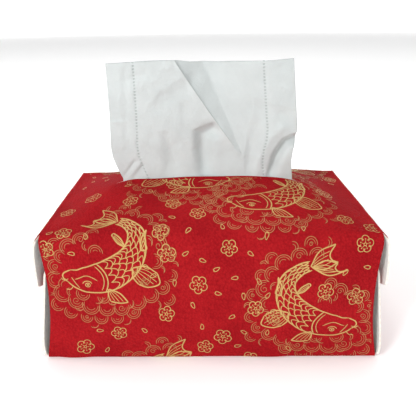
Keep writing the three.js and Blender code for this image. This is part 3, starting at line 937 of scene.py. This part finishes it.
def tissue_grid():
    """The sheet's middle surface, in rows from its top edge down into the throat."""
    shown = np.linspace(1, 0, TISSUE_SHOWN_ROWS)
    left_fine = EMBOSS_INSET_LEFT + DOT_STEPS
    right_fine = EMBOSS_INSET_RIGHT - DOT_STEPS
    rows = []
    for index, share in enumerate(shown):
        rough_z = TISSUE_FOOT + share * 89
        left, right = along(TISSUE_LEFT, rough_z), along(TISSUE_RIGHT, rough_z)
        fold = float(fold_edge(rough_z))
        tightness = float(np.clip((rough_z - PLEAT_FOOT) / 66, 0, 1)) ** 0.8
        overlap = 2.2 * tightness - 1.2 * (1 - min(1, tightness * 6))
        left_end = left + left_fine[-1]
        x_left = np.concatenate(
            [left + LEFT_BORDER, left + left_fine, left_end + (fold - left_end) * np.linspace(0, 1, 34)[1:]]
        )
        begin = fold - overlap
        right_start = right - right_fine[0]
        x_right = np.concatenate(
            [
                begin + (right_start - begin) * np.linspace(0, 1, 36)[:-1],
                right - right_fine,
                right - RIGHT_BORDER,
            ]
        )
        x_middle = fold + (begin - fold) * np.linspace(0, 1, 6)[1:-1]
        forward = -4.6 * tightness * np.exp(-np.maximum(0, fold - x_left) / 15)
        foot = float(strip_foot(rough_z))
        sloping = np.clip((x_right - begin) / (foot - begin), 0, 1)
        past = np.exp(-np.maximum(0, x_right - foot) / 26)
        behind = tightness * (-3.4 + 10.5 * sloping) * past
        middle = forward[-1] + (behind[0] - forward[-1]) * smoothstep(0, 1, np.linspace(0, 1, 6)[1:-1])
        x = np.concatenate([x_left, x_middle, x_right])
        y = np.concatenate([forward, middle, behind])
        pressed = np.zeros(len(x))
        for centre in DOT_COLUMNS:
            if index % 3 == 0:
                pressed[centre - 1 : centre + 2] = (0.5, 0.8, 0.5)
        top = along(TISSUE_TOP, x)
        z = TISSUE_FOOT + share * (top - TISSUE_FOOT)
        rows.append(np.stack([x, y + pressed, z], axis=-1))
    sheet = np.array(rows)
    x, z = sheet[..., 0], sheet[..., 2]
    loose = np.clip((z - LIP_HEIGHT) / 89, 0, 1)
    relief = 2.6 * loose * np.sin(x / 15 + 2.0 * loose) - 2.0 * loose**2
    for line, depth, width in TISSUE_STEPS:
        distance, side, reached = near_line(x, z, line, endless=True)
        share = distance / width
        slope = depth * share * np.exp(1 - share) * (1 - smoothstep(0.6, 1.9, share))
        relief = relief + np.where(side > 0, slope, 0) * end_fade(reached, line)
    for line, depth, width in TISSUE_FOLDS:
        distance, *_ = near_line(x, z, line)
        relief = relief + depth * np.exp(-((distance / width) ** 2))
    held = smoothstep(LIP_HEIGHT - 4, LIP_HEIGHT + 12, z)
    sheet[..., 1] += (relief + crumple(x, z)) * (0.25 + 0.75 * held)
    # It leans on the front lip, and the slot gathers it a little.
    sheet[..., 1] -= 0.7 * slot_opening(x, True) * np.exp(-(((z - LIP_HEIGHT - 1) / 11) ** 2))
    sheet[..., 0] = TISSUE_WIDTH_SHARE * sheet[..., 0] + TISSUE_SHIFT
    return sheet


def tissue_tail(last):
    """Rows that carry on down from the slot, turn up and turn down again."""
    x, y0 = last[:, 0], last[:, 1]
    path = [(0, z) for z in np.linspace(101, 79, 6)]
    radius = 0.7
    up, down = TAIL_LENGTHS
    over = 79.8 + up
    turn = np.radians([20, 60, 90, 120, 160])
    path += [(-radius + radius * math.cos(a), 78.2 + radius * math.sin(a)) for a in -turn]
    path += [(-2 * radius, z) for z in np.linspace(79, 79 + up, 4)]
    path += [(-3 * radius + radius * math.cos(a), over + radius * math.sin(a)) for a in turn]
    path += [(-4 * radius, z) for z in np.linspace(over - 1, over - down, 4)]
    rows = []
    slim = np.clip(1 - (x / 70) ** 2, 0.05, 1) ** 1.2
    for k, (dy, z) in enumerate(path):
        fade = max(0.0, 1 - k / 5)
        gather = 1 - 0.05 * min(1, k / 5)
        ripple = 0.3 * slim * np.sin(x / 5.5) * (1 - fade)
        rows.append(np.stack([x * gather, y0 * fade + dy * slim + ripple, np.full(len(x), z)], axis=-1))
    return np.array(rows)


def standing_tissue():
    sheet = tissue_grid()
    sheet = np.concatenate([sheet, tissue_tail(sheet[-1])])
    rows, columns = sheet.shape[:2]
    faces = grid_faces(rows, columns)[:, ::-1]
    middle = sheet.reshape(-1, 3)
    normal = vertex_normals(middle, faces)
    # The faces at the pressed dots take the darker second material: painted shade in the dimples.
    dots = np.zeros((rows, columns), bool)
    dots[0:TISSUE_SHOWN_ROWS:3, DOT_COLUMNS] = True
    pressed = dots.reshape(-1)[faces].any(axis=1).astype(int)
    # Each ply's distance in front of the middle, and how far its edges stand out past the other's
    plies = {"tissue_front_ply": (0.42, 0.0), "tissue_back_ply": (-0.22, 0.5)}
    for node, (offset, spare) in plies.items():
        points = middle + normal * offset
        points[:, 0] *= 1 + spare / 75
        points[:columns, 2] += spare * (0.6 + 0.5 * np.sin(points[:columns, 0] / 9))
        solid, all_faces, _ = thicken(points, faces, 0.2)
        looks = np.concatenate([pressed, pressed, np.zeros(len(all_faces) - 2 * len(faces), int)])
        ply = mesh_object(
            node.replace("tissue_", "standing_tissue_"), solid, all_faces, [TISSUE_DARKENED_FOR_LIGHT, TISSUE_DIMPLE_SHADE], looks, 70
        )
        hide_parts(node)
        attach(ply, "standing_tissue")


def next_tissue():
    columns = np.linspace(-52, 52, 150)
    heights = np.linspace(75.9, 102.0, 20)
    x, z = np.meshgrid(columns, heights)
    opening = slot_opening(x, False)
    y = opening * (0.45 + 0.13 * np.sin(x / 2.6 + 0.5 * np.sin(z / 9))) + 0.1
    top = np.where(z > 101, 0.8 * np.sin(x / 8), 0)
    points = np.stack([x, y, z + top], axis=-1).reshape(-1, 3)
    solid, faces, _ = thicken(points, grid_faces(len(heights), len(columns)), 0.25)
    made = mesh_object("gathered_next_tissue", solid, faces, [STACKED], None, 70)
    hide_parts("next_tissue")
    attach(made, "next_tissue")


# ---- The pack inside ----


def rounded_section(half_x, half_y, count):
    """Points round a rectangle with rounded corners, the same in number for any size."""
    angle = np.linspace(0, 2 * math.pi, count, endpoint=False)
    power = 2 / 14
    c, d = np.cos(angle), np.sin(angle)
    x = half_x * np.sign(c) * np.abs(c) ** power
    y = half_y * np.sign(d) * np.abs(d) ** power
    return x, y


def lofted(rings, close_ends):
    """The points and faces of a skin through rings of the same number of points."""
    count = len(rings[0])
    points = np.vstack(rings)
    index = np.arange(len(points)).reshape(len(rings), count)
    faces = []
    for low, high in zip(index, index[1:]):
        faces += list(zip(low, np.roll(low, -1), np.roll(high, -1), high))
    if close_ends:
        faces.append(tuple(index[0][::-1]))
        faces.append(tuple(index[-1]))
    return points, faces


STACK_POINTS = 120


def tissue_stack():
    low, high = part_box("tissue_stack")
    low, high = np.array(low) / MM, np.array(high) / MM
    half_x, half_y = (high[0] - low[0]) / 2, (high[1] - low[1]) / 2
    layers = 34
    rings = []
    for layer in range(layers):
        shift = 0.35 * math.sin(layer * 2.1) + 0.2 * math.sin(layer * 5.3)
        for share in (0.04, 0.2, 0.5, 0.8, 0.96):
            z = low[2] + (high[2] - low[2]) * (layer + share) / layers
            round_in = 0.55 * (2 * share - 1) ** 2 + 0.3
            reach_x, reach_y = half_x - round_in * 0.5 - 0.3, half_y - round_in - 0.4 + shift * 0.4
            x, y = rounded_section(reach_x, reach_y, STACK_POINTS)
            rings.append(np.stack([x, y, np.full(len(x), z)], axis=-1))
    for shrink in (0.9, 0.6, 0.3, 0.06):
        x, y = rounded_section((half_x - 0.5) * shrink, (half_y - 1) * shrink, STACK_POINTS)
        rings.append(np.stack([x, y, high[2] - 0.15 * (1 - shrink) + 0.1 * np.sin(x / 9)], axis=-1))
    points, faces = lofted(rings, True)
    made = mesh_object("folded_tissue_stack", points, faces, [STACKED], None, 60)
    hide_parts("tissue_stack")
    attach(made, "cover")


def film_wrapper():
    low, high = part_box("pack_film")
    low, high = np.array(low) / MM, np.array(high) / MM
    body_x, half_y = 80.0, (high[1] - low[1]) / 2
    count = 160
    rings = []

    def ring(half_x, half_y, z, calm=0.0):
        x, y = rounded_section(half_x, half_y, count)
        points = []
        for a, b in zip(x, y):
            crinkle = noise.noise(Vector((a / 13, b / 13, z / 11)))
            crinkle += 0.5 * noise.noise(Vector((a / 5, b / 5, z / 5)))
            push = 1 - 0.009 * (1 - calm) * (1 + crinkle)
            points.append((a * push, b * push, z))
        return np.array(points)

    for inset in (0.1, 0.5, 0.9):
        rings.append(ring(body_x * inset, half_y * inset, low[2] + 0.1, 1.0))
    for share in np.linspace(0, 1, 26):
        z = low[2] + 0.3 + (high[2] - low[2] - 0.6) * share
        corner = 2.0 * (abs(2 * share - 1) ** 12)
        rings.append(ring(body_x - corner, half_y - corner, z))
    angle = np.linspace(0, 2 * math.pi, count, endpoint=False)
    mouth_x, mouth_y = 72 * np.cos(angle), 15 * np.sin(angle)
    edge = rings[-1]
    for share in (0.25, 0.5, 0.75, 1.0):
        torn = 0.6 * np.sin(angle * 23) + 0.4 * np.sin(angle * 41)
        x = edge[:, 0] * (1 - share) + mouth_x * share
        y = edge[:, 1] * (1 - share) + (mouth_y + torn * np.sign(mouth_y) * share) * share
        rings.append(np.stack([x, y, high[2] - 0.2 - 0.5 * share + 0.25 * np.sin(x / 6 + y / 4)], axis=-1))
    points, faces = lofted(rings, False)
    faces = np.array(faces)
    bottom = np.arange(count)
    half = count // 2
    cap = [(bottom[k], bottom[k + 1], bottom[count - 2 - k], bottom[count - 1 - k]) for k in range(half - 1)]
    faces = np.vstack([faces, np.array(cap)[:, ::-1]])
    solid, all_faces, _ = thicken(points, faces, 0.15)
    solid, all_faces = list(solid), [tuple(f) for f in all_faces]
    middle = (low[2] + high[2]) / 2
    for sign in (-1, 1):
        start = len(solid)
        across = np.linspace(-46, 46, 93)
        reach = np.array([body_x - 1.5, 82, 84, 86, 87.6])
        for face_way in (-1, 1):
            for x in reach:
                crimp = 0.35 * np.sin(across * 2.1) * (x > 82)
                pinch = 0.25 + (1.6 if x < 81 else 0)
                solid += [(sign * x, y, middle + face_way * pinch + c) for y, c in zip(across, crimp)]
        grid = grid_faces(len(reach), len(across))
        rows = len(reach) * len(across)
        lower, upper = grid + start, grid + start + rows
        flip = sign > 0
        all_faces += [tuple(f if flip else f[::-1]) for f in lower[:, ::-1]]
        all_faces += [tuple(f[::-1] if flip else f) for f in upper[:, ::-1]]
        index = np.arange(rows).reshape(len(reach), len(across))
        border = list(index[0]) + list(index[1:, -1]) + list(index[-1, ::-1][1:]) + list(index[::-1, 0][1:-1])
        for a, b in zip(border, border[1:] + border[:1]):
            side = (a + start, b + start, b + start + rows, a + start + rows)
            all_faces.append(side if flip else side[::-1])
    made = mesh_object("crinkled_film", solid, all_faces, [FILM], None, 40)
    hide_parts("pack_film")
    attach(made, "cover")


def tape_piece():
    low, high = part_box("lap_seam_tape")
    low, high = np.array(low) / MM, np.array(high) / MM
    columns, rows = np.linspace(low[0], high[0], 160), np.linspace(low[1], high[1], 9)
    x, y = np.meshgrid(columns, rows)
    z = high[2] - 0.06 + 0.05 * np.sin(x / 1.3) * np.sin(y * 2.4)
    points = np.stack([x, y, z], axis=-1).reshape(-1, 3)
    solid, faces, _ = thicken(points, grid_faces(len(rows), len(columns)), high[2] - low[2] - 0.1)
    made = mesh_object("bonding_tape_strip", solid, faces, [TAPE], None, 40)
    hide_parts("lap_seam_tape")
    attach(made, "cover")


def finish_snaps():
    for name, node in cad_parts.items():
        if "_snap_" in name:
            node.data.materials.clear()
            node.data.materials.append(STEEL)


# ---- Camera, floor and light ----


def aimed_light(name, place, target, size, energy, color=(1, 1, 1)):
    data = bpy.data.lights.new(name, "AREA")
    data.size = size
    data.energy = energy
    data.color = color
    made = bpy.data.objects.new(name, data)
    made.location = place
    made.rotation_euler = (Vector(target) - Vector(place)).to_track_quat("-Z", "Y").to_euler()
    bpy.context.scene.collection.objects.link(made)


FLOOR_REACH = 6.0
FLOOR_LEVEL = -0.0002
FLOOR_GLOW = 0.22
BACKDROP_TOP = 1.2
BACKDROP_SIDES = 64


def stage_piece(name, corners, faces, look):
    mesh = bpy.data.meshes.new(name)
    mesh.from_pydata(corners, [], faces)
    mesh.materials.append(look.material)
    made = bpy.data.objects.new(name, mesh)
    bpy.context.scene.collection.objects.link(made)


def studio():
    camera = bpy.data.cameras.new("camera")
    camera.sensor_width = 36
    camera.lens = 41.74
    camera.shift_x = 0.0316
    camera.shift_y = -0.177
    seen = bpy.data.objects.new("camera", camera)
    seen.location = (-0.0046, -0.3461, 0.2255)
    seen.rotation_euler = (math.radians(75.83), math.radians(0.776), math.radians(0.674))
    bpy.context.scene.collection.objects.link(seen)
    bpy.context.scene.camera = seen
    scene = bpy.context.scene
    scene.view_settings.view_transform = "Standard"
    world = bpy.data.worlds.new("studio")
    world.use_nodes = True
    world.node_tree.nodes["Background"].inputs["Color"].default_value = (1, 1, 1, 1)
    world.node_tree.nodes["Background"].inputs["Strength"].default_value = 0.36
    scene.world = world
    # The floor is a light table: it glows a little, so that it stays white out to the backdrop.
    white = (1, 1, 1, 1)
    floor_look = Look("pale_floor", (0.97, 0.97, 0.97), 0.9, Specular_IOR_Level=0.1, Emission_Color=white)
    floor_look.shader.inputs["Emission Strength"].default_value = FLOOR_GLOW
    signs = [(-1, -1), (1, -1), (1, 1), (-1, 1)]
    corners = [(x * FLOOR_REACH, y * FLOOR_REACH, FLOOR_LEVEL) for x, y in signs]
    stage_piece("floor", corners, [(0, 1, 2, 3)], floor_look)
    angles = [math.tau * k / BACKDROP_SIDES for k in range(BACKDROP_SIDES)]
    ring = [(FLOOR_REACH * math.cos(angle), FLOOR_REACH * math.sin(angle)) for angle in angles]
    corners = [(x, y, z) for z in (-0.001, BACKDROP_TOP) for x, y in ring]
    ahead = [(k + 1) % BACKDROP_SIDES for k in range(BACKDROP_SIDES)]
    walls = [(k, n, BACKDROP_SIDES + n, BACKDROP_SIDES + k) for k, n in enumerate(ahead)]
    backdrop_look = Look("white_backdrop", (1, 1, 1), 1.0, Emission_Color=white, Emission_Strength=1.0)
    stage_piece("backdrop", corners, walls, backdrop_look)
    middle = (0, 0, 0.08)
    aimed_light("key", (-1.8, -1.95, 1.65), middle, 0.7, 47.0)
    aimed_light("front", (0.2, -2.4, 0.45), middle, 1.5, 1.5)
    aimed_light("top", (0, 0.6, 3.0), middle, 2.4, 48.0)


studio()
wrap_piece()
for side_name in ("left", "right"):
    for level_name in ("upper", "lower"):
        flap_piece(side_name, level_name)
        flap_prints(side_name, level_name)
wrap_prints()
standing_tissue()
next_tissue()
tissue_stack()
film_wrapper()
tape_piece()
finish_snaps()
